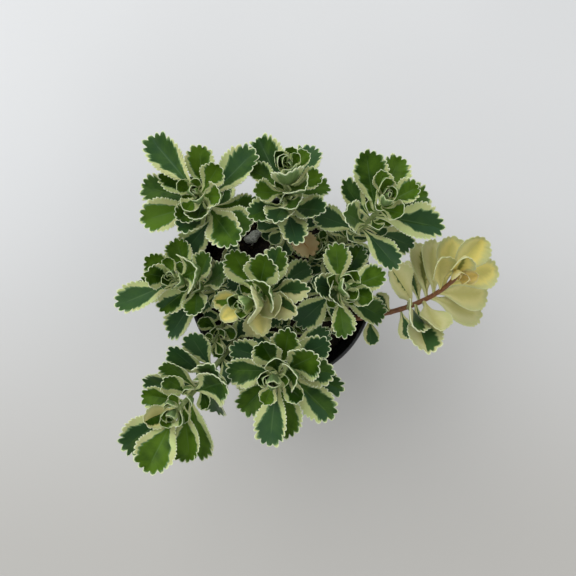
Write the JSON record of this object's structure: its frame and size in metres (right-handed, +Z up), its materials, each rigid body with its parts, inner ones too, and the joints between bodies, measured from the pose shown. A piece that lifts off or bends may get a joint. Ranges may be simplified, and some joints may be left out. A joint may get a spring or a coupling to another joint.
{
  "type": "potted sedum takesimense",
  "caption": "Variegated stonecrop with leafy shoots fanning out of potting mix in a small black nursery pot that stands on a flat surface.",
  "frame": {"origin": "centre of the pot's underside, on the surface that it stands on", "axes": "+Z up; +X to the right and +Y away from the viewer in the view from above, with the pale shoot on the +X side"},
  "size_m": [0.1704, 0.1489, 0.1413],
  "materials": {
    "pot_plastic": "black polypropylene, slightly shiny",
    "potting_mix": "dark, damp and crumbly",
    "pumice": "chalky white grain",
    "leaf_green": "waxy leaf, dark green with a cream edge",
    "leaf_pale": "waxy leaf, cream and yellow"
  },
  "bodies": {
    "root": {"pot": "pot_plastic", "soil": "potting_mix", "pumice_1": "pumice", "pumice_2": "pumice", "pumice_3": "pumice", "shoot_front": "leaf_green", "shoot_back_left": "leaf_green", "shoot_back_middle": "leaf_green", "shoot_back_right": "leaf_green", "shoot_centre": "leaf_green", "shoot_right": "leaf_green", "shoot_left": "leaf_green", "shoot_front_left": "leaf_green", "shoot_right_pale": "leaf_pale", "sprout_front_left": "leaf_green", "sprout_back": "leaf_green", "sprout_front_right": "leaf_green"}
  },
  "joints": []
}
